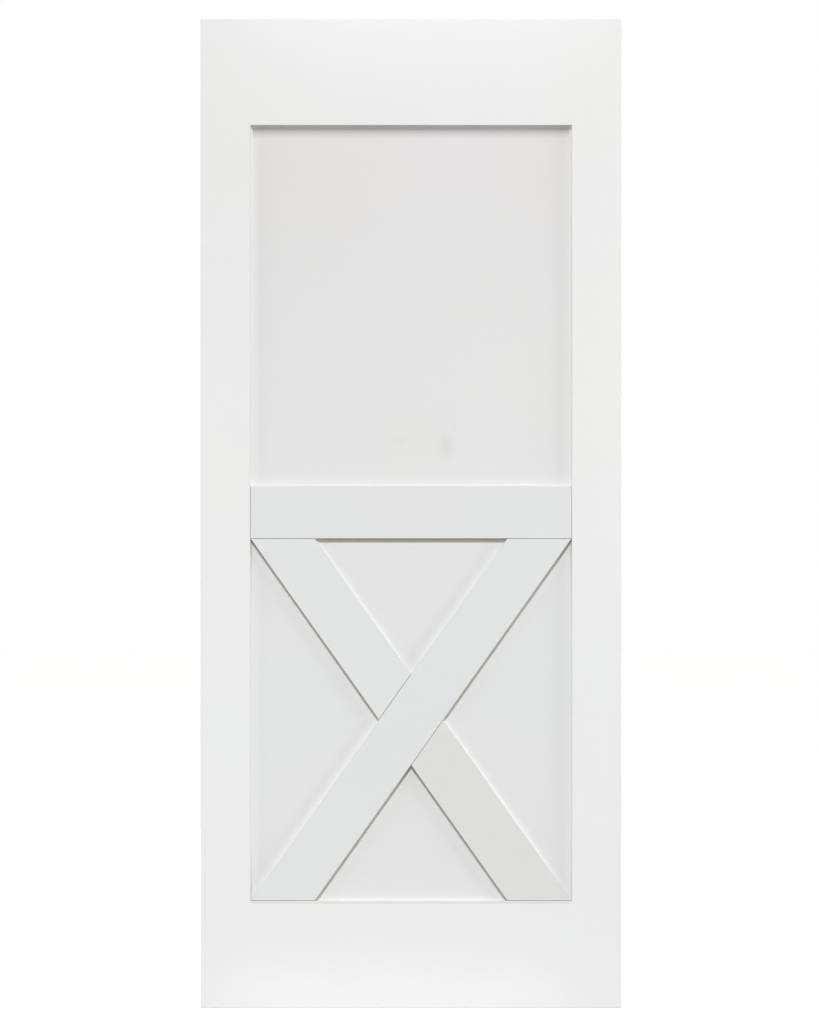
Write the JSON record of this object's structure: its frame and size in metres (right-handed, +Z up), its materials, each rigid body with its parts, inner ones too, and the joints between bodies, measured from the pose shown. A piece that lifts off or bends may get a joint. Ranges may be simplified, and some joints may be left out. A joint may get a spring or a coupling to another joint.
{
  "type": "sliding barn door",
  "caption": "White painted barn door leaf: a stile-and-rail frame round one flat panel, with a mid rail and a half X of brace boards set flush in its front recess, and a floor guide groove.",
  "frame": {"origin": "on the floor plane under the middle of the bottom edge, halfway through the thickness", "axes": "+X to the right as seen from the front, +Y from the front to the back, +Z up"},
  "size_m": [0.908, 0.035, 2.134],
  "materials": {
    "frame_paint": "satin white paint on fibreboard",
    "panel_paint": "flat off-white paint on fibreboard",
    "board_paint": "flat cool white paint on fibreboard",
    "dowel_wood": "bare beech",
    "pin_steel": "plain steel wire"
  },
  "bodies": {
    "root": {"left_stile": "frame_paint", "right_stile": "frame_paint", "top_rail": "frame_paint", "bottom_rail": "frame_paint", "panel": "panel_paint", "mid_rail": "board_paint", "long_brace": "board_paint", "upper_short_brace": "board_paint", "lower_short_brace": "board_paint", "top_left_dowels": "dowel_wood", "top_right_dowels": "dowel_wood", "bottom_left_dowels": "dowel_wood", "bottom_right_dowels": "dowel_wood", "mid_rail_pins": "pin_steel", "long_brace_pins": "pin_steel", "upper_short_brace_pins": "pin_steel", "lower_short_brace_pins": "pin_steel"}
  },
  "joints": []
}
